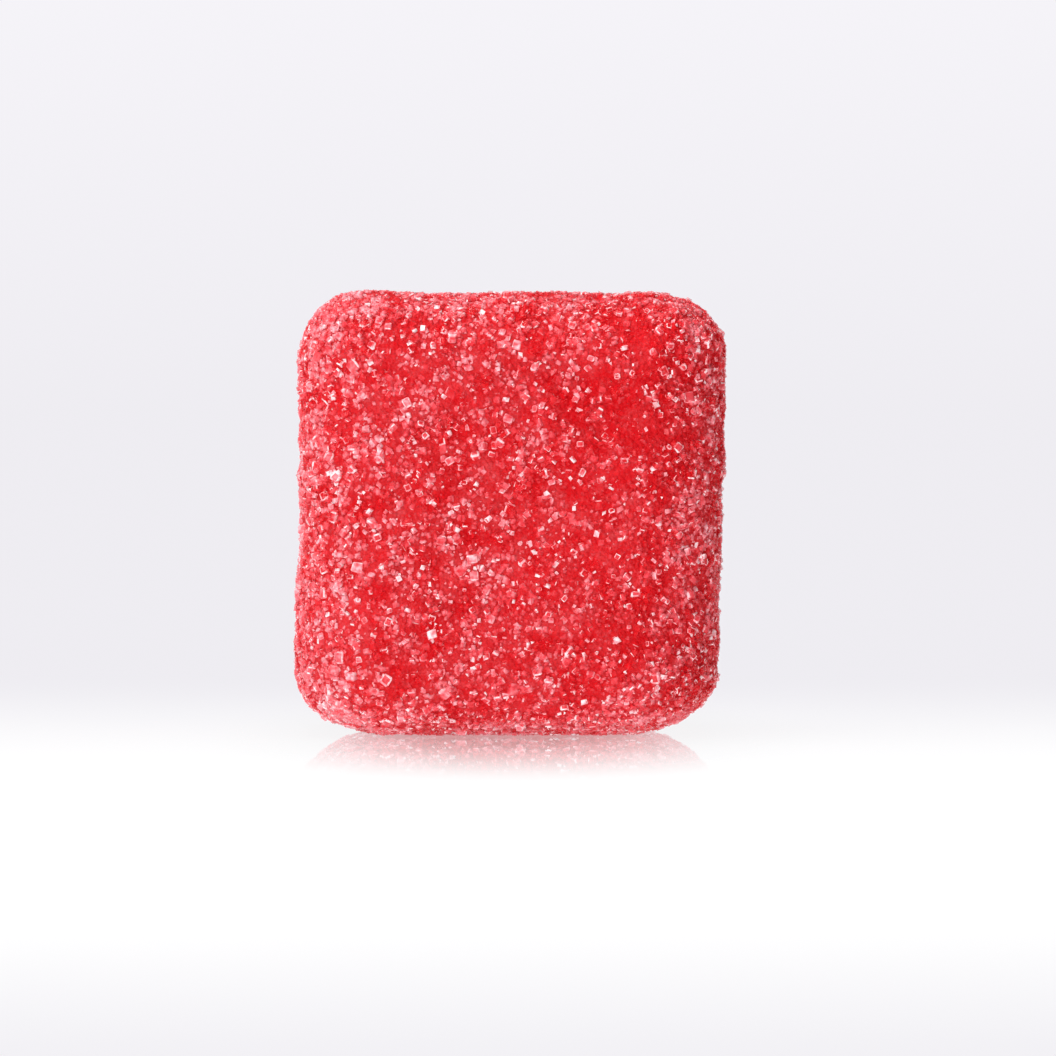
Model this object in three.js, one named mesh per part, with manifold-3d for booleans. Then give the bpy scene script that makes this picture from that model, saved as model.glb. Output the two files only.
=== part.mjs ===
// A sugared gummy: a cube of red fruit jelly with rounded edges, cast in a mould and rolled in
// sugar while it was still tacky. The jelly and the largest of its sugar crystals are one solid.
//
// Lengths are in millimetres. +Z is up and the front faces -Y. The origin is under the middle of
// the gummy, on the surface that it stands on.

import * as THREE from "three";
import { mergeGeometries, mergeVertices } from "three/addons/utils/BufferGeometryUtils.js";
import Module from "manifold-3d";

// The jelly.
const WIDTH = 17.15; // left to right
const DEPTH = 16.8; // front to back
const HEIGHT = 17.9;
const EDGE_RISE = 2.65; // how high the rounding of the top's and the foot's edges is
const TOP_LEFT_REACH = 2.6; // and how far it reaches in from the sides
const TOP_RIGHT_REACH = 3.7;
const FOOT_REACH = 4.5; // the foot has slumped, so its edge is rounder
const TOP_DISH = 0.22; // how far the middle of the top has sunk in setting
const SIDE_DISH = 0.14; // the same on each side
const LEAN = 0.4; // how far the top stands to the right of the foot
const LUMP_HEIGHT = 0.09; // of the slow waves that make the faces uneven
const LUMP_LENGTH = 6.5;

// The crust of sugar over it: facets about as wide as a crystal, each corner moved at random.
const CRUST_SEGMENTS = 24; // along each side of each face
const CRUST_HEIGHT = 0.1; // in or out
const CRUST_SHIFT = 0.3; // sideways, as a share of a segment

// The largest crystals: blocks with worn corners, sunk partly into the crust.
const CRYSTAL_COUNT = 134;
const CRYSTAL_LARGEST = 0.86;
const CRYSTAL_SMALLEST = 0.54;
const CRYSTAL_SPACING = 1.9; // at least this far apart, so that none touches another
const CRYSTAL_SUNK = [0.68, 0.84]; // the share of its height below the jelly's surface
const CRYSTAL_BREADTH = [0.7, 1.0]; // as a share of its length
const CRYSTAL_THICKNESS = [0.6, 0.9];
const CORNER_KEPT = [0.74, 1.0]; // how far out each corner still stands
const CRYSTAL_TILT = 0.22; // radians, at most
const LOWEST_CRYSTAL = 0.05; // nothing reaches below this but the flat foot

const CRYSTAL_SEED = 2027;
const CRUST_SEED = 614;

const JELLY_RED = 0xd62f3c;

// A generator of numbers from 0 to 1, after Park and Miller, that is the same on every machine.
function seededRandom(seed) {
  const MULTIPLIER = 16807;
  const MODULUS = 2147483647;
  let state = seed;
  return (low = 0, high = 1) => {
    state = (state * MULTIPLIER) % MODULUS;
    return low + (high - low) * (state / MODULUS);
  };
}

// 1 in the middle of a face and 0 round its edge, where a and b run from -1 to 1 across the face.
function bowl(a, b) {
  return (1 - a * a) * (1 - b * b);
}

// The slow waves of an uneven face, at a point.
function lumps({ x, y, z }) {
  const turn = (2 * Math.PI) / LUMP_LENGTH;
  const along = Math.sin(turn * (x + 0.4 * z) + 0.8) * Math.cos(turn * (0.9 * z - 0.3 * y));
  const across = Math.sin(turn * (0.8 * y + 0.5 * z) + 2.1) * Math.cos(turn * (0.7 * x + 0.2 * y));
  return (LUMP_HEIGHT * (along + across)) / 2;
}

// The point of the jelly's surface, and the way outwards there, for a point of the surface of a
// cube that runs from -1 to 1 each way.
function jellySurface(cube) {
  const half = new THREE.Vector3(WIDTH, DEPTH, HEIGHT).divideScalar(2);
  const topReach = THREE.MathUtils.mapLinear(cube.x, -1, 1, TOP_LEFT_REACH, TOP_RIGHT_REACH);
  const reach = THREE.MathUtils.mapLinear(cube.z, -1, 1, FOOT_REACH, topReach);
  const rounding = new THREE.Vector3(reach, reach, EDGE_RISE);
  const onBox = cube.clone().multiply(half);
  const flat = half.clone().sub(rounding); // where the faces end and the rounding begins
  const centre = onBox.clone().clamp(flat.clone().negate(), flat);
  const onBall = onBox.clone().sub(centre).divide(rounding).normalize();
  const point = centre.add(onBall.clone().multiply(rounding));
  const outward = onBall.divide(rounding).normalize();

  const sideBowl = Math.max(bowl(cube.x, cube.z), bowl(cube.y, cube.z));
  const dish = cube.z === 1 ? TOP_DISH * bowl(cube.x, cube.y) : SIDE_DISH * sideBowl;
  const offTheFoot = 1 - THREE.MathUtils.smoothstep(-outward.z, 0.5, 1);
  point.addScaledVector(outward, (lumps(point) - dish) * offTheFoot);

  point.x += LEAN * (point.z / HEIGHT);
  point.z += HEIGHT / 2;
  return { point, outward, offTheFoot };
}

// A box geometry that is one closed mesh, with each corner in it once.
function closedBox(width, depth, height, segments = 1) {
  const box = new THREE.BoxGeometry(width, depth, height, segments, segments, segments);
  box.deleteAttribute("normal");
  box.deleteAttribute("uv");
  return mergeVertices(box);
}

// The jelly in its crust: a cube's grid of faces drawn onto the jelly's surface and roughened.
function crustGeometry() {
  const random = seededRandom(CRUST_SEED);
  const geometry = closedBox(2, 2, 2, CRUST_SEGMENTS);
  const positions = geometry.getAttribute("position");
  const cube = new THREE.Vector3();
  const shift = CRUST_SHIFT * (2 / CRUST_SEGMENTS);
  const shifted = (across) => (Math.abs(across) < 1 ? across + random(-shift, shift) : across);
  for (let i = 0; i < positions.count; i++) {
    cube.fromBufferAttribute(positions, i);
    cube.set(...cube.toArray().map(shifted));
    const { point, outward, offTheFoot } = jellySurface(cube);
    const height = random(-CRUST_HEIGHT, CRUST_HEIGHT) * offTheFoot;
    positions.setXYZ(i, ...point.addScaledVector(outward, height));
  }
  return geometry;
}

// A point drawn evenly over the surface of the cube that jellySurface takes.
function randomOnCube(random) {
  const face = Math.floor(random(0, 6));
  const across = [random(-1, 1), random(-1, 1)];
  const side = face % 2 === 0 ? 1 : -1;
  const axis = Math.floor(face / 2);
  across.splice(axis, 0, side);
  return new THREE.Vector3(...across);
}

// One crystal of a given length, round the origin: a block whose corners are worn by turns.
function crystalGeometry(length, breadth, thickness, random) {
  const geometry = closedBox(length, breadth, thickness);
  const positions = geometry.getAttribute("position");
  const corner = new THREE.Vector3();
  for (let i = 0; i < positions.count; i++) {
    corner.fromBufferAttribute(positions, i).multiplyScalar(random(...CORNER_KEPT));
    positions.setXYZ(i, ...corner);
  }
  return geometry;
}

// A crystal sunk into the jelly where the cube's point comes out, turned and tilted at random.
function sunkCrystal(length, { point, outward }, random) {
  const breadth = length * random(...CRYSTAL_BREADTH);
  const thickness = length * random(...CRYSTAL_THICKNESS);
  const sunk = thickness * random(...CRYSTAL_SUNK);
  const up = new THREE.Vector3(0, 0, 1);
  const turned = new THREE.Quaternion().setFromUnitVectors(up, outward);
  const spin = new THREE.Quaternion().setFromAxisAngle(up, random(0, 2 * Math.PI));
  const across = new THREE.Vector3(1, 0, 0);
  const tilt = new THREE.Quaternion().setFromAxisAngle(across, random(-CRYSTAL_TILT, CRYSTAL_TILT));
  const centre = point.clone().addScaledVector(outward, thickness / 2 - sunk);
  return crystalGeometry(length, breadth, thickness, random)
    .applyQuaternion(turned.multiply(spin).multiply(tilt))
    .translate(...centre);
}

// The largest crystals, from the largest down, spread over the top and sides. Places too near
// an earlier crystal are passed over, and so is a crystal that would reach under the foot.
function sugarGeometry() {
  const random = seededRandom(CRYSTAL_SEED);
  const crystals = [];
  const places = [];
  while (crystals.length < CRYSTAL_COUNT) {
    const surface = jellySurface(randomOnCube(random));
    if (places.some((place) => place.distanceTo(surface.point) < CRYSTAL_SPACING)) continue;
    const share = Math.sqrt(crystals.length / CRYSTAL_COUNT);
    const length = THREE.MathUtils.lerp(CRYSTAL_LARGEST, CRYSTAL_SMALLEST, share);
    const crystal = sunkCrystal(length, surface, random);
    crystal.computeBoundingBox();
    if (crystal.boundingBox.min.z < LOWEST_CRYSTAL) continue;
    crystals.push(crystal);
    places.push(surface.point);
  }
  return mergeGeometries(crystals);
}

const wasm = await Module();
wasm.setup();

// A closed indexed geometry as a solid.
function solidOf(geometry) {
  return new wasm.Manifold(
    new wasm.Mesh({
      numProp: 3,
      vertProperties: geometry.getAttribute("position").array,
      triVerts: new Uint32Array(geometry.index.array),
    }),
  );
}

// A solid as a geometry whose faces are flat.
function geometryOf(solid) {
  const { vertProperties, triVerts } = solid.getMesh();
  const joined = new THREE.BufferGeometry()
    .setAttribute("position", new THREE.BufferAttribute(vertProperties, 3))
    .setIndex(new THREE.BufferAttribute(triVerts, 1));
  const geometry = joined.toNonIndexed();
  geometry.computeVertexNormals();
  return geometry;
}

// The jelly and its crystals as one solid, moved so that it stands over the origin.
function gummy() {
  const geometry = geometryOf(solidOf(crustGeometry()).add(solidOf(sugarGeometry())));
  geometry.computeBoundingBox();
  const middle = geometry.boundingBox.getCenter(new THREE.Vector3());
  const material = new THREE.MeshStandardMaterial({
    color: JELLY_RED,
    roughness: 0.45,
    metalness: 0,
  });
  const mesh = new THREE.Mesh(geometry, material);
  mesh.name = "gummy";
  mesh.position.set(-middle.x, -middle.y, 0);
  return mesh;
}

const model = new THREE.Group();
model.add(gummy());

export default model;
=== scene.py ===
"""A sugared gummy: a cube of red fruit jelly in a crust of sugar, on a pale floor in soft light.

The jelly's form and its largest crystals are the CAD's own, by the same rules and the same draws.
Lengths are in millimetres, as there, and become metres as each mesh is made. Only the camera's
clipping and the lengths inside materials are in metres.
"""

import math
from itertools import product
from typing import NamedTuple

import bpy
import numpy as np
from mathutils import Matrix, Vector, noise


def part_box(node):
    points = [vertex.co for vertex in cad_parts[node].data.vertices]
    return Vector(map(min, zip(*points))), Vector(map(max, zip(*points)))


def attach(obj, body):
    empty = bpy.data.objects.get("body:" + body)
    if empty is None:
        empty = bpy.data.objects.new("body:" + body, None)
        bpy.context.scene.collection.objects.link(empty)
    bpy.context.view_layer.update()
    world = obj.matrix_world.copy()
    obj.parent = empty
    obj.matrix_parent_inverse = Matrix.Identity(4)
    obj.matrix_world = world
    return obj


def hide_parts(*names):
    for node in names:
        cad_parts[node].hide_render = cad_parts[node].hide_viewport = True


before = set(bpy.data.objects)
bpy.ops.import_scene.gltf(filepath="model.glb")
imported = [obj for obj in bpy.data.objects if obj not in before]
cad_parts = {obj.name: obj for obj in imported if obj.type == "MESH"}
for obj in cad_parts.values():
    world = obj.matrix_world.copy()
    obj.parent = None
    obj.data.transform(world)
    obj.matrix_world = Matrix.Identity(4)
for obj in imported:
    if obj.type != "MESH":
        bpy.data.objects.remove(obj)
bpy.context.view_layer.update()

MM = 0.001


# ---------------------------------------------------------------- the jelly's form

# The jelly, as the CAD has it.
WIDTH, DEPTH, HEIGHT = 17.15, 16.8, 17.9
EDGE_RISE = 2.65
TOP_LEFT_REACH, TOP_RIGHT_REACH, FOOT_REACH = 2.6, 3.7, 4.5
TOP_DISH, SIDE_DISH = 0.22, 0.14
LEAN = 0.4
LUMP_HEIGHT, LUMP_LENGTH = 0.09, 6.5
CRUST_SEGMENTS, CRUST_HEIGHT, CRUST_SHIFT, CRUST_SEED = 24, 0.1, 0.3, 614


class Draws:
    """Numbers from 0 to 1 after Park and Miller, as the CAD draws them."""

    MULTIPLIER = 16807
    MODULUS = 2147483647

    def __init__(self, seed):
        self.state = seed

    def __call__(self, low=0.0, high=1.0):
        self.state = (self.state * self.MULTIPLIER) % self.MODULUS
        return low + (high - low) * (self.state / self.MODULUS)


def lerp(start, end, share):
    return start + (end - start) * share


def normalized(v):
    return v / np.linalg.norm(v, axis=-1, keepdims=True)


def smoothstep(x, low, high):
    t = np.clip((x - low) / (high - low), 0, 1)
    return t * t * (3 - 2 * t)


def bowl(a, b):
    """1 in the middle of a face and 0 round its edge, where a and b run from -1 to 1 across it."""
    return (1 - a * a) * (1 - b * b)


def lumps(p):
    """The slow waves of an uneven face, at each point."""
    x, y, z = p[..., 0], p[..., 1], p[..., 2]
    turn = 2 * math.pi / LUMP_LENGTH
    along = np.sin(turn * (x + 0.4 * z) + 0.8) * np.cos(turn * (0.9 * z - 0.3 * y))
    across = np.sin(turn * (0.8 * y + 0.5 * z) + 2.1) * np.cos(turn * (0.7 * x + 0.2 * y))
    return LUMP_HEIGHT * (along + across) / 2


def jelly_surface(cube):
    """For a cube's points, the jelly's points, its ways outwards and how far off the foot it is."""
    cube = np.asarray(cube, float)
    half = np.array([WIDTH, DEPTH, HEIGHT]) / 2
    x, y, z = cube[..., 0], cube[..., 1], cube[..., 2]
    top_reach = lerp(TOP_LEFT_REACH, TOP_RIGHT_REACH, (x + 1) / 2)
    reach = lerp(FOOT_REACH, top_reach, (z + 1) / 2)
    rounding = np.stack([reach, reach, np.full_like(reach, EDGE_RISE)], -1)
    on_box = cube * half
    flat = half - rounding
    centre = np.clip(on_box, -flat, flat)
    on_ball = normalized((on_box - centre) / rounding)
    point = centre + on_ball * rounding
    outward = normalized(on_ball / rounding)
    side_bowl = np.maximum(bowl(x, z), bowl(y, z))
    dish = np.where(z >= 1, TOP_DISH * bowl(x, y), SIDE_DISH * side_bowl)
    off_foot = 1 - smoothstep(-outward[..., 2], 0.5, 1)
    point = point + outward * ((lumps(point) - dish) * off_foot)[..., None]
    point[..., 0] += LEAN * (point[..., 2] / HEIGHT)
    point[..., 2] += HEIGHT / 2
    return point, outward, off_foot


# Each face of the cube: its axis, its side, and the two axes that run across it.
FACES = [(0, 1, 1, 2), (0, -1, 2, 1), (1, 1, 2, 0), (1, -1, 0, 2), (2, 1, 0, 1), (2, -1, 1, 0)]


def face_points(face, s, t):
    """The cube's points at s, t from -1 to 1 across a face."""
    axis, side, u, v = FACES[face]
    points = np.empty(np.shape(s) + (3,))
    points[..., axis] = side
    points[..., u] = s
    points[..., v] = t
    return points


def grid_key(point):
    return tuple(int(round(c * CRUST_SEGMENTS)) for c in point)


def crust_corners():
    """The crust's corners on the cube and their heights, by their places in the cube's grid."""
    draw = Draws(CRUST_SEED)
    n = CRUST_SEGMENTS
    shift = CRUST_SHIFT * (2 / n)
    # In the order in which the CAD's box lists its corners, square by square. For each face:
    # its axis and side, and the axis and sign of each way across it.
    order = [(0, 1, 2, -1, 1, -1), (0, -1, 2, 1, 1, -1), (1, 1, 0, 1, 2, 1),
             (1, -1, 0, 1, 2, -1), (2, 1, 0, 1, 1, -1), (2, -1, 0, -1, 1, -1)]
    keys, cubes, heights = {}, [], []
    for axis, side, u, u_sign, v, v_sign in order:
        for iv, iu, (du, dv) in product(range(n), range(n), product((0, 1), (0, 1))):
            point = [0.0, 0.0, 0.0]
            point[axis] = float(side)
            point[u] = u_sign * ((iu + du) * 2 / n - 1)
            point[v] = v_sign * ((iv + dv) * 2 / n - 1)
            key = grid_key(point)
            if key in keys:
                continue
            keys[key] = len(cubes)
            cubes.append([c + draw(-shift, shift) if abs(c) < 1 else c for c in point])
            heights.append(draw(-CRUST_HEIGHT, CRUST_HEIGHT))
    return keys, np.array(cubes), np.array(heights)


def crust_faces():
    """All the crust's points and, for each face, its points and its ways outwards, as grids."""
    keys, cubes, heights = crust_corners()
    points, outward, off_foot = jelly_surface(cubes)
    points = points + outward * (heights * off_foot)[:, None]
    across = np.linspace(-1, 1, CRUST_SEGMENTS + 1)
    s, t = np.meshgrid(across, across, indexing="ij")
    found = []
    for face in range(6):
        cube = face_points(face, s, t).reshape(-1, 3)
        index = np.array([keys[grid_key(p)] for p in cube]).reshape(s.shape)
        found.append((points[index], outward[index]))
    return points, found


CRUST_POINTS, CRUST = crust_faces()


def crust_at(face, s, t):
    """The crust's points and the ways outwards at s, t across the faces, between its corners."""
    points, outward = np.empty(s.shape + (3,)), np.empty(s.shape + (3,))
    for f in range(6):
        on = face == f
        a = (s[on] + 1) / 2 * CRUST_SEGMENTS
        b = (t[on] + 1) / 2 * CRUST_SEGMENTS
        i = np.clip(a.astype(int), 0, CRUST_SEGMENTS - 1)
        j = np.clip(b.astype(int), 0, CRUST_SEGMENTS - 1)
        a, b = (a - i)[:, None], (b - j)[:, None]
        for grid, out in ((CRUST[f][0], points), (CRUST[f][1], outward)):
            low = grid[i, j] * (1 - a) + grid[i + 1, j] * a
            high = grid[i, j + 1] * (1 - a) + grid[i + 1, j + 1] * a
            out[on] = low * (1 - b) + high * b
    return points, normalized(outward)


# ---------------------------------------------------------------- the largest crystals

# The jelly's largest crystals, as the CAD has them.
CRYSTAL_COUNT, CRYSTAL_SPACING, CRYSTAL_SEED = 134, 1.9, 2027
CRYSTAL_LARGEST, CRYSTAL_SMALLEST = 0.86, 0.54
CRYSTAL_SUNK = (0.68, 0.84)
CRYSTAL_BREADTH, CRYSTAL_THICKNESS = (0.7, 1.0), (0.6, 0.9)
CORNER_KEPT = (0.74, 1.0)
CRYSTAL_TILT = 0.22
LOWEST_CRYSTAL = 0.05

# A block's corners, in the order in which the CAD draws how worn they are.
CORNERS = np.array([[1, 1, 1], [1, -1, 1], [1, 1, -1], [1, -1, -1],
                    [-1, 1, -1], [-1, -1, -1], [-1, 1, 1], [-1, -1, 1]], float)

STRAIGHT_DOWN = -0.9999  # below this height of a way outwards, any half turn takes +Z to it
TINY = 1e-6


def turn_to(outward):
    """The rotations that take +Z to each way outwards by the shortest turn."""
    x, y, z = outward[:, 0], outward[:, 1], outward[:, 2]
    k = 1 / np.maximum(1 + z, TINY)
    turns = np.stack([
        np.stack([1 - x * x * k, -x * y * k, x], -1),
        np.stack([-x * y * k, 1 - y * y * k, y], -1),
        np.stack([-x, -y, z], -1),
    ], 1)
    turns[z < STRAIGHT_DOWN] = np.diag([1, -1, -1])
    return turns


def about(axis, angle):
    """The rotations about X or Z by each angle."""
    c, s, o, i = np.cos(angle), np.sin(angle), np.zeros_like(angle), np.ones_like(angle)
    if axis == "X":
        rows = [[i, o, o], [o, c, -s], [o, s, c]]
    else:
        rows = [[c, -s, o], [s, c, o], [o, o, i]]
    return np.stack([np.stack(row, -1) for row in rows], 1)


def cad_crystals():
    """The corners of the CAD's crystals, from the largest down, and the places where they lie."""
    draw = Draws(CRYSTAL_SEED)
    made, places = [], []
    while len(made) < CRYSTAL_COUNT:
        face = math.floor(draw(0, 6))
        cube = [draw(-1, 1), draw(-1, 1)]
        cube.insert(face // 2, 1.0 if face % 2 == 0 else -1.0)
        point, outward, _ = (v[0] for v in jelly_surface([cube]))
        if any(np.linalg.norm(p - point) < CRYSTAL_SPACING for p in places):
            continue
        share = math.sqrt(len(made) / CRYSTAL_COUNT)
        length = lerp(CRYSTAL_LARGEST, CRYSTAL_SMALLEST, share)
        breadth = length * draw(*CRYSTAL_BREADTH)
        thickness = length * draw(*CRYSTAL_THICKNESS)
        sunk = thickness * draw(*CRYSTAL_SUNK)
        spin = draw(0, 2 * math.pi)
        tilt = draw(-CRYSTAL_TILT, CRYSTAL_TILT)
        kept = np.array([draw(*CORNER_KEPT) for _ in CORNERS])
        corners = CORNERS * np.array([length, breadth, thickness]) / 2 * kept[:, None]
        turn = turn_to(outward[None])[0] @ about("Z", np.array([spin]))[0]
        turn = turn @ about("X", np.array([tilt]))[0]
        corners = corners @ turn.T + point + outward * (thickness / 2 - sunk)
        if corners[:, 2].min() < LOWEST_CRYSTAL:
            continue
        made.append(corners)
        places.append(point)
    return np.array(made), np.array(places)


def middle_over_foot(points):
    """What the CAD takes off all points, so that the gummy stands over the origin."""
    return (points.min(0) + points.max(0)) / 2 * np.array([1, 1, 0])


LARGE, LARGE_PLACES = cad_crystals()
MIDDLE = middle_over_foot(np.concatenate([CRUST_POINTS, LARGE.reshape(-1, 3)]))
LOWEST, HIGHEST = (np.array(corner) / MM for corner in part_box("gummy"))


# ---------------------------------------------------------------- a block's faces

def rings():
    """The corners round each face of a block, anticlockwise as seen from outside."""
    found = []
    for axis, side in product(range(3), (1, -1)):
        u, v = (axis + 1) % 3, (axis + 2) % 3
        ring = []
        for a, b in [(1, 1), (-1, 1), (-1, -1), (1, -1)][::side]:
            sign = [0, 0, 0]
            sign[axis], sign[u], sign[v] = side, a, b
            ring.append(next(i for i, c in enumerate(CORNERS) if list(c) == sign))
        found.append(ring)
    return found


RINGS = rings()
FOOT_RING = RINGS[5]


def chamfer_faces():
    """The squares and triangles of a block with its edges and corners cut, four vertices a face."""
    after = {}  # from a corner on a face, the next corner round it
    for f, ring in enumerate(RINGS):
        for k in range(4):
            after[f, ring[k]] = ring[(k + 1) % 4]
    at = {(f, c): f * 4 + k for f, ring in enumerate(RINGS) for k, c in enumerate(ring)}
    beyond = {}  # the face across the edge that leaves a corner on a face
    for (f, c), d in after.items():
        beyond[f, c] = next(g for g in range(6) if after.get((g, d)) == c)
    squares = [[f * 4 + k for k in range(4)] for f in range(6)]
    for (f, c), d in after.items():
        g = beyond[f, c]
        if f < g:
            squares.append([at[f, d], at[f, c], at[g, c], at[g, d]])
    triangles = []
    for c in range(8):
        f = next(f for f in range(6) if (f, c) in after)
        g = beyond[f, c]
        triangles.append([at[beyond[g, c], c], at[g, c], at[f, c]])
    return np.array(squares), np.array(triangles)


CHAMFER_SQUARES, CHAMFER_TRIANGLES = chamfer_faces()
CHAMFER_CUTS = len(CHAMFER_SQUARES) - 6 + len(CHAMFER_TRIANGLES)  # all faces but the block's own

PYRAMID_SQUARES = np.array([[0, 1, 2, 3]])
PYRAMID_TRIANGLES = np.array([[1, 0, 4], [2, 1, 4], [3, 2, 4], [0, 3, 4]])
NO_FACES = np.empty((0, 3), int)


def repeated(faces, count, points_each):
    """One crystal's faces for all of a kind, whose points follow one another."""
    first = np.arange(count)[:, None, None] * points_each
    return (faces + first).reshape(-1, faces.shape[1])


# ---------------------------------------------------------------- the kinds of sugar

class Sugar(NamedTuple):
    """One kind of sugar: how its crystals are spread, shaped and finished. Where a value is a
    pair, each crystal or face draws its own between the two."""

    count: int
    length: tuple
    sunk: tuple  # the share of a crystal's thickness that lies below the crust
    tilt: float  # radians, at most
    kept: tuple  # how far out each corner still stands
    faint: tuple  # how frosted most faces are, from 0 to 1
    bright: tuple  # and how frosted the flecks are, which are partly frosted faces and partly painted highlights
    flecks: float  # the share of faces that are flecks
    roughness: float
    clearest: float  # how opaque a face without frosting is
    beads: float = 0  # the share of crystals with smooth faces
    spacing: float = 0  # how far apart they stand at least, in their own lengths
    clearing: float = 0  # and how far from the largest crystals
    inset: tuple = (0, 0)  # how far in the edges are cut
    roundness: tuple = (0, 0)
    cut_flecks: float = 0  # the share of cut edges and corners that are flecks
    rims: float = 0  # the share of crystals whose cuts are all bright, partly worn frosted edges and partly a painted highlight


COARSE = Sugar(900, length=(0.36, 0.66), sunk=(0.4, 0.72), tilt=0.9, kept=(0.65, 1.0),
               faint=(0.08, 0.33), bright=(0.45, 0.95), flecks=0.03, roughness=0.15,
               clearest=0.4, beads=0.7, spacing=0.9, clearing=0.5, inset=(0.2, 0.45),
               roundness=(0.5, 1), cut_flecks=0.24, rims=0.6)
MEDIUM = Sugar(4400, length=(0.24, 0.5), sunk=(0.45, 0.75), tilt=1.2, kept=(0.65, 1.0),
               faint=(0.06, 0.31), bright=(0.45, 1.0), flecks=0.03, roughness=0.18,
               clearest=0.45, beads=0.7, spacing=0.7, clearing=0.4, inset=(0.2, 0.45),
               roundness=(0.4, 1), cut_flecks=0.26, rims=0.4)
FINE = Sugar(14000, length=(0.15, 0.33), sunk=(0.5, 0.85), tilt=3.1, kept=(0.5, 1.0),
             faint=(0.09, 0.3), bright=(0.45, 1.0), flecks=0.1, roughness=0.2,
             clearest=0.5, beads=0.6)
DUST = Sugar(26000, length=(0.09, 0.19), sunk=(0.3, 0.7), tilt=3.1, kept=(0.6, 1.0),
             faint=(0.09, 0.3), bright=(0.5, 1.0), flecks=0.06, roughness=0.3, clearest=0.6)

LARGEST_INSET = (0.18, 0.38)  # of the CAD's own crystals, which are finished as the coarse are
SUGAR_SEED = 5

SHORT_POWER = 1.6  # makes short crystals of a kind commoner than long ones
TRIES = 1.9  # how many places are drawn for each crystal that is wanted
TRIES_APART = 3.6  # and how many where they have to stand apart

# The sugar lies in patches about this wide, and thinly about one place on the front.
PATCH = 1.7
BARE_PLACE = np.array([5.2, -8.4, 14.3])
BARE_REACH = 4.0
COVER = 0.8  # the share of the drawn places that get their crystal, over most of the surface
PATCH_COVER = 0.5  # how much more or less it is in a patch
BARE_COVER = 0.3  # how much less it is in the thinly sugared place
LEAST_COVER = 0.4

# It is pinker, and so is the jelly under it, in smaller patches, and as painted light towards the
# left and at the top, and less pink towards the right.
HAZE_PATCHES = ((2.0, 0.2), (0.7, 0.34))  # how wide, and how much pinker
SIDE_PAINTED_LIGHT = 0.075  # painted light: how much pinker the left side is than the middle, and the right side less pink
TOP_PAINTED_LIGHT = 0.05  # painted light: how much pinker the top is
TOP_BAND = 3.0  # and how far down that reaches
BARE_HAZE = 0.1  # how much less pink the thinly sugared place is

FACE_VARIES = 0.08  # how much more or less frosted than its crystal a face may be
RIM_FROST_AND_PAINTED_HIGHLIGHT, RIM_VARIES = (0.4, 0.9), (0.5, 1.1)  # of each bright rim, partly worn frost and partly painted highlight, and times this for each cut
RIMMED_FROST = 0.08  # how much more frosted the faces inside a bright rim are

BALL_RADIUS = 1.15  # of a fully round crystal, in halves of its length
UNEVEN = 0.14  # how far in each point of a crystal may lie, as a share of its reach


def noise_at(points, width):
    """Smooth noise at each point, in patches of a width."""
    return np.array([noise.noise(Vector(p) / width) for p in points])


def bareness(points):
    """1 in the middle of the thinly sugared place, and less further off."""
    return np.exp(-(np.linalg.norm(points - BARE_PLACE, axis=1) / BARE_REACH) ** 2)


def cover(points):
    """The share of the drawn places near each point that get their crystal."""
    share = COVER + PATCH_COVER * noise_at(points, PATCH) - BARE_COVER * bareness(points)
    return np.clip(share, LEAST_COVER, 1)


def haze_and_painted_light(points):
    """How much pinker than elsewhere the sugar is at each point, with painted light to the left and
    top.
    """
    pinker = sum(much * noise_at(points, wide) for wide, much in HAZE_PATCHES)
    # Painted light: pinker towards the left and at the top, and less pink towards the right.
    leftwards = -points[:, 0] / (WIDTH / 2)
    at_top = smoothstep(points[:, 2], HEIGHT - TOP_BAND, HEIGHT)
    return pinker + SIDE_PAINTED_LIGHT * leftwards + TOP_PAINTED_LIGHT * at_top - BARE_HAZE * bareness(points)


def apart(points, spacing):
    """Which points stand at least their spacing from every earlier one that was kept."""
    cell = spacing.max()
    grid, kept = {}, np.zeros(len(points), bool)
    for i, (p, d) in enumerate(zip(points, spacing)):
        home = tuple(int(c // cell) for c in p)
        near = (grid.get((home[0] + a, home[1] + b, home[2] + c), ())
                for a, b, c in product((-1, 0, 1), repeat=3))
        if any(np.abs(points[j] - p).max() < d and np.linalg.norm(points[j] - p) < d
               for cell_points in near for j in cell_points):
            continue
        kept[i] = True
        grid.setdefault(home, []).append(i)
    return kept


def place_crystals(random, sugar, face, s, t, length):
    """The corners of worn blocks sunk into the crust."""
    point, outward = crust_at(face, s, t)
    count = len(length)
    breadth = length * random.uniform(*CRYSTAL_BREADTH, count)
    thickness = length * random.uniform(*CRYSTAL_THICKNESS, count)
    depth = thickness * random.uniform(*sugar.sunk, count)
    corners = CORNERS * np.stack([length, breadth, thickness], -1)[:, None] / 2
    corners = corners * random.uniform(*sugar.kept, (count, 8, 3))
    turn = turn_to(outward) @ about("Z", random.uniform(0, 2 * math.pi, count))
    turn = turn @ about("X", random.uniform(-sugar.tilt, sugar.tilt, count))
    corners = corners @ turn.transpose(0, 2, 1)
    corners = corners + (point + outward * (thickness / 2 - depth)[:, None])[:, None]
    return corners - MIDDLE


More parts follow.
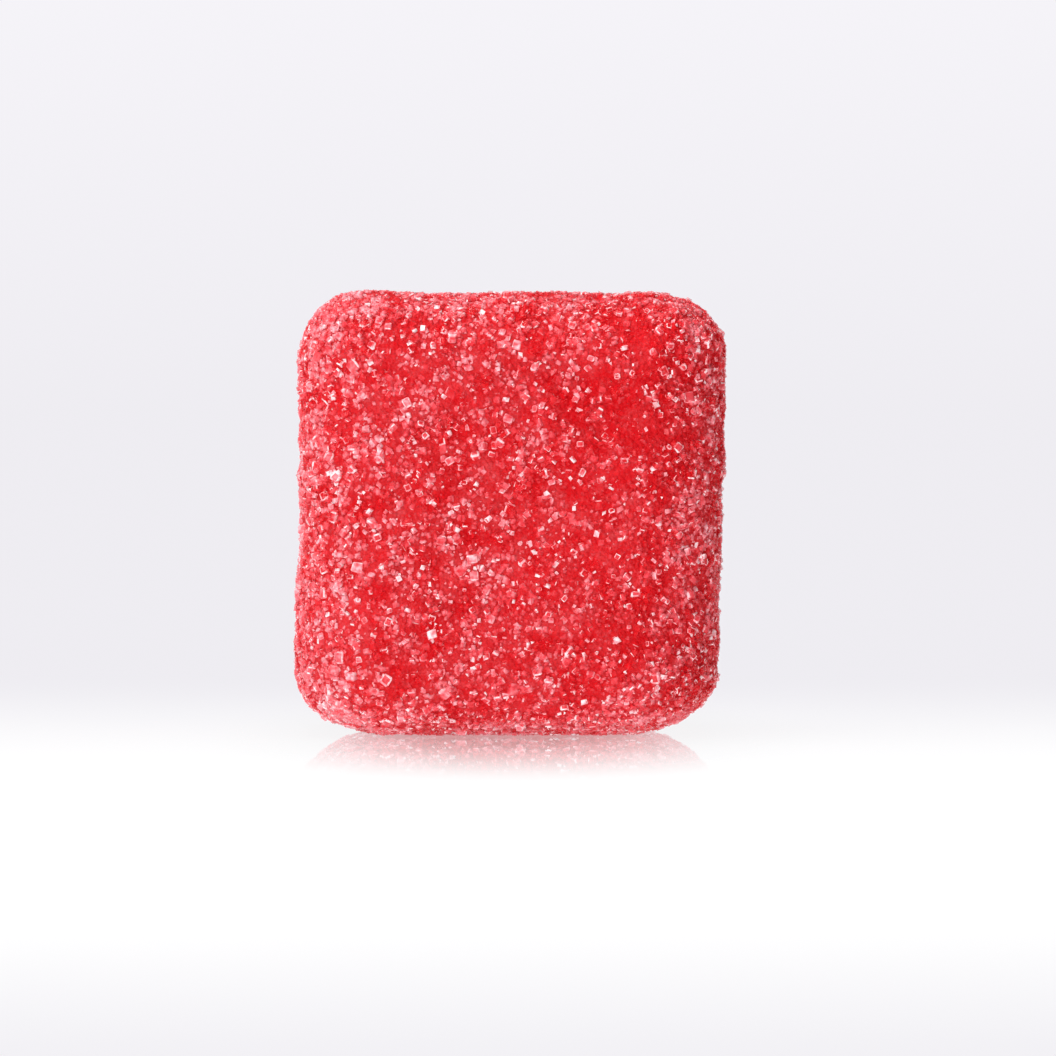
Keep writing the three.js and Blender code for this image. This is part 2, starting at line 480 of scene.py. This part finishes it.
def scatter(random, sugar):
    """The corners of one kind's crystals, in patches over the crust, within the CAD's box."""
    tries = int(sugar.count * (TRIES_APART if sugar.spacing else TRIES))
    face = random.integers(0, 6, tries)
    s, t = random.uniform(-1, 1, tries), random.uniform(-1, 1, tries)
    length = lerp(*sugar.length, random.uniform(size=tries) ** SHORT_POWER)
    point, _ = crust_at(face, s, t)
    good = random.uniform(size=tries) < cover(point)
    if sugar.clearing:
        for place in LARGE_PLACES:
            good &= np.linalg.norm(point - place, axis=1) > sugar.clearing
    if sugar.spacing:
        keep = np.flatnonzero(good)
        good[keep] &= apart(point[keep], length[keep] * sugar.spacing)
    keep = np.flatnonzero(good)
    corners = place_crystals(random, sugar, face[keep], s[keep], t[keep], length[keep])
    inside = (corners > LOWEST) & (corners < HIGHEST)
    return corners[inside.all((1, 2))][:sugar.count]


def worn_blocks(random, corners, inset, roundness):
    """The 24 points of each block with its edges cut, drawn in towards a ball by its roundness."""
    inset = random.uniform(*inset, len(corners))[:, None, None]
    roundness = random.uniform(*roundness, len(corners))[:, None, None]
    points = np.empty((len(corners), 24, 3))
    for f, ring in enumerate(RINGS):
        middle = corners[:, ring].mean(1, keepdims=True)
        points[:, f * 4:f * 4 + 4] = corners[:, ring] + (middle - corners[:, ring]) * inset
    centre = corners.mean(1, keepdims=True)
    # The columns are half the block's length, breadth and thickness. In them the block is a cube.
    halves = np.stack([(corners * CORNERS[:, k, None]).mean(1) for k in range(3)], -1)
    local = (points - centre) @ np.linalg.inv(halves).transpose(0, 2, 1)
    distance = np.linalg.norm(local, axis=-1, keepdims=True)
    ball = np.minimum(BALL_RADIUS / distance, 1)
    local = local * (1 + (ball - 1) * roundness)
    local = local * random.uniform(1 - UNEVEN, 1, local.shape)
    return local @ halves.transpose(0, 2, 1) + centre


def frosted_and_painted_light(random, sugar, points, own_faces, cuts=0):
    """How frosted each face of each crystal is, where its cuts come after its own faces. It carries
    painted light: the haze's, and bright rims and flecks that are partly painted highlights.
    """
    count, faces = len(points), own_faces + cuts
    level = random.uniform(*sugar.faint, (count, 1)) + haze_and_painted_light(points.mean(1))[:, None]
    level = level + random.uniform(-FACE_VARIES, FACE_VARIES, (count, faces))
    # Bright rims and flecks: partly frosted, worn sugar and partly painted highlights.
    has_rim = random.uniform(size=(count, 1)) < sugar.rims
    rim = random.uniform(*RIM_FROST_AND_PAINTED_HIGHLIGHT, (count, 1)) * random.uniform(*RIM_VARIES, (count, faces))
    rim[:, :own_faces] = level[:, :own_faces] + RIMMED_FROST
    level = np.where(has_rim, rim, level)
    flecks = [sugar.flecks] * own_faces + [sugar.cut_flecks] * cuts
    is_fleck = random.uniform(size=(count, faces)) < np.array(flecks)
    fleck = random.uniform(*sugar.bright, (count, faces))
    return np.clip(np.where(is_fleck, fleck, level), 0, 1)


# ---------------------------------------------------------------- materials

def add(tree, kind, inputs=None, **settings):
    """A new node with its settings. Each of its inputs, by its name or its place, takes a value or
    is linked to another node's output."""
    node = tree.nodes.new(kind)
    for name, setting in settings.items():
        setattr(node, name, setting)
    for name, value in (inputs or {}).items():
        if isinstance(value, bpy.types.NodeSocket):
            tree.links.new(value, node.inputs[name])
        else:
            node.inputs[name].default_value = value
    return node


def reckoned(tree, operation, *terms, **settings):
    """The value that an operation makes of its terms."""
    inputs = dict(enumerate(terms))
    return add(tree, "ShaderNodeMath", inputs, operation=operation, **settings).outputs["Value"]


def ranged(tree, value, low, high, start=0, end=1, smooth=False):
    """The value taken from low and high to start and end, and held at them beyond."""
    inputs = {"Value": value, "From Min": low, "From Max": high, "To Min": start, "To Max": end}
    kind = "SMOOTHSTEP" if smooth else "LINEAR"
    return add(tree, "ShaderNodeMapRange", inputs, interpolation_type=kind).outputs["Result"]


def coloured(tree, value, stops):
    """The value's colour on a ramp of stops, each a place and a colour, from the lowest up."""
    node = add(tree, "ShaderNodeValToRGB", {"Fac": value})
    first, *between, last = stops
    elements = node.color_ramp.elements
    for element, (place, colour) in zip(elements, (first, last)):
        element.position = place
        element.color = (*colour, 1)
    for place, colour in between:
        elements.new(place).color = (*colour, 1)
    return node.outputs["Color"]


def blended(tree, share, first, second):
    """The first colour where the share is 0, and the second where it is 1."""
    inputs = {"Factor": share, "A": first, "B": second}
    return add(tree, "ShaderNodeMix", inputs, data_type="RGBA").outputs["Result"]


def mixed(tree, share, first, second):
    """The first shader where the share is 0, and the second where it is 1."""
    return add(tree, "ShaderNodeMixShader", {"Fac": share, 1: first, 2: second}).outputs["Shader"]


def cloudy(tree, where, scale, detail, roughness=0.5):
    """Noise from 0 to 1."""
    inputs = {"Vector": where, "Scale": scale, "Detail": detail, "Roughness": roughness}
    return add(tree, "ShaderNodeTexNoise", inputs).outputs["Fac"]


def frost_and_painted_light_of(tree):
    """How frosted each face is, with the painted light that it carries."""
    return add(tree, "ShaderNodeAttribute", attribute_name="frost_and_painted_light").outputs["Fac"]


def place_on(tree):
    """Where on the piece a point lies, in metres."""
    return add(tree, "ShaderNodeTexCoord").outputs["Object"]


def new_material(name):
    material = bpy.data.materials.new(name)
    material.use_nodes = True
    material.node_tree.nodes.clear()
    return material, material.node_tree


def jelly_material():
    """Deep red jelly, clouded by sugar dust in patches and frosted all over, with painted light in
    the frost.
    """
    material, tree = new_material("jelly")
    where = place_on(tree)
    red = coloured(tree, cloudy(tree, where, scale=260, detail=3),
                   [(0.35, (0.58, 0.003, 0.007)), (0.7, (0.66, 0.008, 0.014))])
    dust = cloudy(tree, where, scale=3800, detail=3, roughness=0.7)
    specks = ranged(tree, dust, 0.5, 0.75, end=0.15)
    share = reckoned(tree, "MULTIPLY_ADD", frost_and_painted_light_of(tree), 0.25, specks)
    grain = add(tree, "ShaderNodeTexVoronoi", {"Vector": where, "Scale": 6500})
    height = reckoned(tree, "SUBTRACT", dust, grain.outputs["Distance"])
    bump = add(tree, "ShaderNodeBump", {"Height": height, "Strength": 1.0, "Distance": 0.1 * MM})
    shader = add(tree, "ShaderNodeBsdfPrincipled", {
        "Base Color": blended(tree, share, red, (0.86, 0.24, 0.27, 1)),
        "Normal": bump.outputs["Normal"],
        "Roughness": 0.5,
        "IOR": 1.4,
        "Specular IOR Level": 0.1,
        "Subsurface Weight": 0.4,
        "Subsurface Radius": (1.0, 0.12, 0.1),
        "Subsurface Scale": 1.0 * MM,
    })
    add(tree, "ShaderNodeOutputMaterial", {"Surface": shader.outputs["BSDF"]})
    return material


def sugar_material(name, sugar):
    """Sugar crystals on red jelly: red where they are clear, and white where they are frosted, with
    painted highlights and painted light in the frost.
    """
    material, tree = new_material(name)
    cloud = cloudy(tree, place_on(tree), scale=5000, detail=1)
    uneven = ranged(tree, cloud, 0.3, 0.7, 0.55, 1.45)
    frosting_and_painted_light = reckoned(tree, "MULTIPLY", frost_and_painted_light_of(tree), uneven, use_clamp=True)
    colour = coloured(tree, frosting_and_painted_light, [(0, (0.68, 0.005, 0.01)), (0.25, (0.8, 0.07, 0.09)),
                                       (0.6, (0.9, 0.3, 0.34)), (1, (1.0, 0.7, 0.72))])
    bump = add(tree, "ShaderNodeBump", {"Height": cloud, "Strength": 0.6, "Distance": 0.04 * MM})
    opaque = ranged(tree, frosting_and_painted_light, 0, 0.6, sugar.clearest, 1)
    back = add(tree, "ShaderNodeNewGeometry").outputs["Backfacing"]
    shader = add(tree, "ShaderNodeBsdfPrincipled", {
        "Base Color": colour,
        "Normal": bump.outputs["Normal"],
        "Alpha": reckoned(tree, "MULTIPLY", opaque, reckoned(tree, "SUBTRACT", 1, back)),
        "Roughness": sugar.roughness,
        "IOR": 1.54,
        "Specular IOR Level": 0.2,
        "Sheen Weight": 0.05,
        "Sheen Roughness": 0.3,
        "Subsurface Weight": 0.4,
        "Subsurface Radius": (1.0, 0.5, 0.5),
        "Subsurface Scale": 0.2 * MM,
    })
    add(tree, "ShaderNodeOutputMaterial", {"Surface": shader.outputs["BSDF"]})
    return material


# ---------------------------------------------------------------- the pieces

JELLY_FINER = 5  # how many squares of the jelly's grid go into one of the CAD's
JELLY_ROUGHNESS = 0.03
JELLY_FROST = 0.16
JELLY_FOOT = 0.03  # nothing of the jelly lies lower
JELLY_SEED = 11


def mesh_object(name, points, squares, triangles, smooth, frost_and_painted_light, material):
    """A piece of joined squares and triangles, in metres, that stands for the CAD's gummy."""
    mesh = bpy.data.meshes.new(name)
    mesh.vertices.add(len(points))
    mesh.vertices.foreach_set("co", (points * MM).astype(np.float32).ravel())
    loops = np.concatenate([squares.ravel(), triangles.ravel()])
    starts = np.concatenate([np.arange(len(squares)) * 4,
                             len(squares) * 4 + np.arange(len(triangles)) * 3])
    mesh.loops.add(len(loops))
    mesh.loops.foreach_set("vertex_index", loops.astype(np.int32))
    mesh.polygons.add(len(starts))
    mesh.polygons.foreach_set("loop_start", starts.astype(np.int32))
    mesh.polygons.foreach_set("use_smooth", np.broadcast_to(smooth, len(starts)).astype(bool))
    attribute = mesh.attributes.new("frost_and_painted_light", "FLOAT", "FACE")
    attribute.data.foreach_set("value", frost_and_painted_light.astype(np.float32))
    mesh.update(calc_edges=True)
    mesh.validate()
    mesh.materials.append(material)
    piece = bpy.data.objects.new(name, mesh)
    bpy.context.scene.collection.objects.link(piece)
    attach(piece, "root")
    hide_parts("gummy")


def make_jelly():
    """The jelly: the CAD's crust on a finer grid, roughened by the grains too fine to see apart."""
    random = np.random.default_rng(JELLY_SEED)
    n = CRUST_SEGMENTS * JELLY_FINER
    across = np.linspace(-1, 1, n + 1)
    s, t = np.meshgrid(across, across, indexing="ij")
    i, j = np.meshgrid(np.arange(n), np.arange(n), indexing="ij")
    corner = (i * (n + 1) + j).ravel()
    squares = np.stack([corner, corner + n + 1, corner + n + 2, corner + 1], -1)
    face = np.repeat(np.arange(6), s.size)
    points, outward = crust_at(face, np.tile(s.ravel(), 6), np.tile(t.ravel(), 6))
    squares = np.concatenate([squares + f * s.size for f in range(6)])

    # The points along the cube's edges, which its faces share, are made one.
    cubes = np.concatenate([face_points(f, s, t).reshape(-1, 3) for f in range(6)])
    keys = np.round((cubes + 1) / 2 * n).astype(int) @ [1, n + 1, (n + 1) ** 2]
    _, first, index = np.unique(keys, return_index=True, return_inverse=True)
    points, outward = points[first], outward[first]
    squares = index.ravel()[squares]

    roughness = random.uniform(-1, 1, len(points)) * JELLY_ROUGHNESS - JELLY_ROUGHNESS
    points = points + outward * roughness[:, None] - MIDDLE
    points[:, 2] = np.maximum(points[:, 2], JELLY_FOOT)
    # The frost carries painted light: pinker to the left and at the top.
    frost_and_painted_light = np.clip(JELLY_FROST + haze_and_painted_light(points[squares].mean(1)), 0, 1)
    mesh_object("gummy_jelly", points, squares, NO_FACES, True, frost_and_painted_light, jelly_material())


def chamfered(name, random, sugar, points):
    """Crystals with cut edges, as worn_blocks gives them."""
    count = len(points)
    bead = random.uniform(size=count) < sugar.beads
    squares = repeated(CHAMFER_SQUARES, count, 24)
    triangles = repeated(CHAMFER_TRIANGLES, count, 24)
    smooth = np.concatenate([np.repeat(bead, len(faces))
                             for faces in (CHAMFER_SQUARES, CHAMFER_TRIANGLES)])
    frost_and_painted_light = frosted_and_painted_light(random, sugar, points, 6, CHAMFER_CUTS)
    frost_and_painted_light = np.concatenate([part.ravel() for part in np.split(frost_and_painted_light, [len(CHAMFER_SQUARES)], 1)])
    mesh_object(name, points.reshape(-1, 3), squares, triangles, smooth, frost_and_painted_light,
                sugar_material(name, sugar))


def blocks(name, random, sugar, corners, material):
    """Crystals with sharp edges."""
    count = len(corners)
    squares = repeated(np.array(RINGS), count, 8)
    smooth = np.repeat(random.uniform(size=count) < sugar.beads, 6)
    frost_and_painted_light = frosted_and_painted_light(random, sugar, corners, 6).ravel()
    mesh_object(name, corners.reshape(-1, 3), squares, NO_FACES, smooth, frost_and_painted_light, material)


def grains(name, random, sugar, corners):
    """The smallest grains: pyramids on four of each block's corners."""
    count = len(corners)
    apex = corners[:, CORNERS[:, 2] > 0].mean(1, keepdims=True)
    points = np.concatenate([corners[:, FOOT_RING], apex], axis=1)
    squares = repeated(PYRAMID_SQUARES, count, 5)
    triangles = repeated(PYRAMID_TRIANGLES, count, 5)
    frost_and_painted_light = frosted_and_painted_light(random, sugar, points, 5)
    frost_and_painted_light = np.concatenate([frost_and_painted_light[:, 0], frost_and_painted_light[:, 1:].ravel()])
    mesh_object(name, points.reshape(-1, 3), squares, triangles, False, frost_and_painted_light,
                sugar_material(name, sugar))


def make_sugar():
    """All the sugar, from the coarsest, one piece for each kind but the fine, which has two."""
    random = np.random.default_rng(SUGAR_SEED)
    coarse = scatter(random, COARSE)
    largest = worn_blocks(random, LARGE - MIDDLE, LARGEST_INSET, COARSE.roundness)
    coarse = worn_blocks(random, coarse, COARSE.inset, COARSE.roundness)
    chamfered("sugar_coarse", random, COARSE, np.concatenate([largest, coarse]))
    medium = worn_blocks(random, scatter(random, MEDIUM), MEDIUM.inset, MEDIUM.roundness)
    chamfered("sugar_medium", random, MEDIUM, medium)
    material = sugar_material("sugar_fine", FINE)
    for name in ("sugar_fine_a", "sugar_fine_b"):
        blocks(name, random, FINE, scatter(random, FINE), material)
    grains("sugar_dust", random, DUST, scatter(random, DUST))


# ---------------------------------------------------------------- the stage

BACKDROP = (0.915, 0.9, 0.94, 1)  # high up
HORIZON = (0.86, 0.845, 0.885, 1)
BACKDROP_RISE = 0.06  # the Z of a way in which the backdrop's own colour is reached

FLOOR_REACH = 6000.0  # each way from the middle
FLOOR_DROP = 0.02  # how far below the gummy it lies, so that their faces don't meet
FLOOR_COLOUR = (0.07, 0.07, 0.07, 1)
FLOOR_SEEN = 0.95  # how bright it is to the camera
FLOOR_SHADED = 0.84  # how bright it is to all else, close to the foot
FLOOR_LIFT = 0.47  # and how much brighter further off
FLOOR_TURN = (-0.05, 0.06)  # where it turns into the backdrop towards the back, in metres
FLOOR_MIRROR = 0.755
MIRROR_STRETCH = (3, 1, 1)  # how much sooner the mirror fades to the sides

# How far from the middle each of these begins and ends, in metres.
FOOT_SHADE = (0.0045, 0.0095)
MIRROR_FADE = (0.006, 0.042)
FLOOR_FADE = (0.09, 0.16)

# How bright the world is to all but the camera, by the way in which it is seen.
WORLD_DIM, WORLD_BRIGHT = 0.1, 1.1
BRIGHT_BEHIND = (0.8, 0.97)  # from dim to bright as the way's Y goes through this range
RING_HEIGHT = (0.12, 0.05)  # and as its Z does

TRANSPARENT_BOUNCES = 32  # enough for a ray through the clear faces of heaped crystals


def from_middle(tree, where, near, far, stretch=(1, 1, 1)):
    """From 0 to 1 as the distance from the middle goes from near to far."""
    scaled = add(tree, "ShaderNodeVectorMath", {0: where, 1: stretch}, operation="MULTIPLY")
    distance = add(tree, "ShaderNodeVectorMath", {0: scaled.outputs["Vector"]}, operation="LENGTH")
    return ranged(tree, distance.outputs["Value"], near, far, smooth=True)


def floor_material():
    """White paper that mirrors a little near the gummy and fades into the backdrop further off.

    It is lit from below as well. What falls on the gummy is brighter than what the camera sees, but
    for the shade round its foot. The mirror is strong at a low angle and gone at a steep one."""
    material, tree = new_material("floor")
    where = place_on(tree)
    y = add(tree, "ShaderNodeSeparateXYZ", {"Vector": where}).outputs["Y"]
    to_camera = add(tree, "ShaderNodeLightPath").outputs["Is Camera Ray"]
    facing = add(tree, "ShaderNodeLayerWeight").outputs["Facing"]

    open_floor = from_middle(tree, where, *FOOT_SHADE)
    lighting = reckoned(tree, "MULTIPLY_ADD", open_floor, FLOOR_LIFT, FLOOR_SHADED)
    strength = ranged(tree, to_camera, 0, 1, lighting, FLOOR_SEEN)
    white = add(tree, "ShaderNodeBsdfDiffuse", {"Color": FLOOR_COLOUR}).outputs["BSDF"]
    bright = add(tree, "ShaderNodeEmission", {"Strength": strength}).outputs["Emission"]
    lit = add(tree, "ShaderNodeAddShader", {0: white, 1: bright}).outputs["Shader"]

    glow = add(tree, "ShaderNodeEmission", {"Color": HORIZON}).outputs["Emission"]
    paper = mixed(tree, ranged(tree, y, *FLOOR_TURN, smooth=True), lit, glow)
    polish = {"Color": (1, 1, 1, 1), "Roughness": 0.02}
    polish = add(tree, "ShaderNodeBsdfGlossy", polish).outputs["BSDF"]
    fade = from_middle(tree, where, *MIRROR_FADE, MIRROR_STRETCH)
    mirror = reckoned(tree, "MULTIPLY", ranged(tree, fade, 0, 1, FLOOR_MIRROR, 0), facing)
    mirror = reckoned(tree, "MULTIPLY", mirror, to_camera)
    near = mixed(tree, mirror, paper, polish)
    surface = mixed(tree, from_middle(tree, where, *FLOOR_FADE), near, glow)
    add(tree, "ShaderNodeOutputMaterial", {"Surface": surface})
    return material


def make_floor():
    """One large square, just under the gummy."""
    mesh = bpy.data.meshes.new("floor")
    corners = [(x * FLOOR_REACH * MM, y * FLOOR_REACH * MM, -FLOOR_DROP * MM)
               for x, y in ((-1, -1), (1, -1), (1, 1), (-1, 1))]
    mesh.from_pydata(corners, [], [(0, 1, 2, 3)])
    mesh.materials.append(floor_material())
    floor = bpy.data.objects.new("floor", mesh)
    bpy.context.scene.collection.objects.link(floor)


def make_world():
    """What the camera sees is the pale backdrop. What lights the gummy is dim, but for the backdrop
    behind it and a ring round the horizon, which the floor mirrors."""
    world = bpy.data.worlds.new("world")
    bpy.context.scene.world = world
    world.use_nodes = True
    tree = world.node_tree
    tree.nodes.clear()
    way = add(tree, "ShaderNodeTexCoord").outputs["Generated"]
    split = add(tree, "ShaderNodeSeparateXYZ", {"Vector": way})
    y, z = split.outputs["Y"], split.outputs["Z"]
    to_camera = add(tree, "ShaderNodeLightPath").outputs["Is Camera Ray"]

    behind = ranged(tree, y, *BRIGHT_BEHIND, WORLD_DIM, WORLD_BRIGHT, smooth=True)
    ring = ranged(tree, z, *RING_HEIGHT, 0, WORLD_BRIGHT, smooth=True)
    strength = reckoned(tree, "MAXIMUM", behind, ring)
    light = add(tree, "ShaderNodeBackground", {"Strength": strength}).outputs["Background"]
    colour = blended(tree, ranged(tree, z, 0, BACKDROP_RISE), HORIZON, BACKDROP)
    seen = add(tree, "ShaderNodeBackground", {"Color": colour}).outputs["Background"]
    add(tree, "ShaderNodeOutputWorld", {"Surface": mixed(tree, to_camera, light, seen)})


def make_light(name, place, size, watts):
    """A square softbox that faces the gummy."""
    data = bpy.data.lights.new(name, "AREA")
    data.size = size * MM
    data.energy = watts
    light = bpy.data.objects.new(name, data)
    bpy.context.scene.collection.objects.link(light)
    light.location = [c * MM for c in place]
    target = Vector((0, 0, HEIGHT / 2 * MM))
    light.rotation_euler = (target - light.location).to_track_quat("-Z", "Y").to_euler()


# ---------------------------------------------------------------- the camera

# At the photograph's angle. The gummy stands a little left of and above the picture's middle.
FRAME_WIDTH = 43.28  # of the picture, at the gummy
CAMERA_DISTANCE = 280.0
CAMERA_ELEVATION = 1.0  # degrees
AIM = (0.70, 0.0, 8.30)
SENSOR_WIDTH = 36.0
CLIP_START, CLIP_END = 0.01, 20.0  # metres


def make_camera():
    data = bpy.data.cameras.new("camera")
    camera = bpy.data.objects.new("camera", data)
    bpy.context.scene.collection.objects.link(camera)
    tilt = math.radians(CAMERA_ELEVATION)
    away = (0, -math.cos(tilt), math.sin(tilt))
    camera.location = [(a + CAMERA_DISTANCE * b) * MM for a, b in zip(AIM, away)]
    camera.rotation_euler = (math.pi / 2 - tilt, 0, 0)
    data.sensor_width = SENSOR_WIDTH
    data.lens = SENSOR_WIDTH * CAMERA_DISTANCE / FRAME_WIDTH
    data.clip_start = CLIP_START
    data.clip_end = CLIP_END
    bpy.context.scene.camera = camera


make_camera()
make_jelly()
make_sugar()
make_floor()
make_world()
make_light("key", place=(-190, -295, 25), size=280, watts=1.57)
make_light("fill", place=(290, -200, 60), size=220, watts=0.13)
make_light("top", place=(-60, -20, 330), size=260, watts=1.28)

bpy.context.scene.view_settings.view_transform = "Standard"
bpy.context.scene.cycles.transparent_max_bounces = TRANSPARENT_BOUNCES
